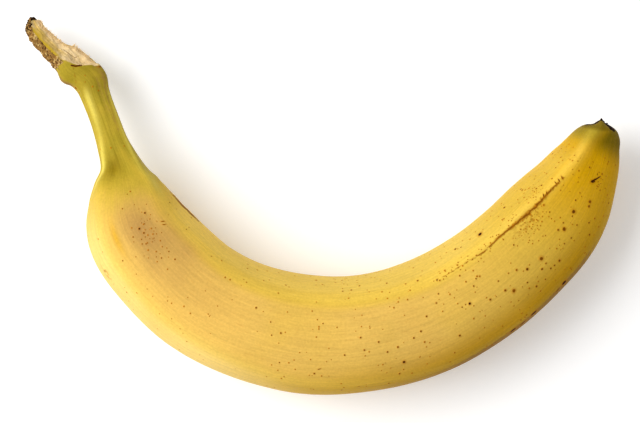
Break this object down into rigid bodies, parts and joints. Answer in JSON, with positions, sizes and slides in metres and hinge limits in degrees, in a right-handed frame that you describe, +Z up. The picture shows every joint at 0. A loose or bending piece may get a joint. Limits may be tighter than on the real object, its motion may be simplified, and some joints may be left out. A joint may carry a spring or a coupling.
{
  "type": "banana",
  "caption": "Ripe curved banana with a five-sided peel, a stalk, a torn strip of crown and a dark blossom end, lying on its side.",
  "frame": {"origin": "middle of the fruit's box in X and Y, on the surface it lies on", "axes": "+X from the torn crown towards the blossom end, +Y towards the hollow of the curve, +Z up"},
  "size_m": [0.1786, 0.1136, 0.0335],
  "materials": {
    "peel": "ripe yellow peel, satin, with brown specks and one brown rubbed ridge"
  },
  "bodies": {
    "root": {"banana": "peel"}
  },
  "joints": []
}
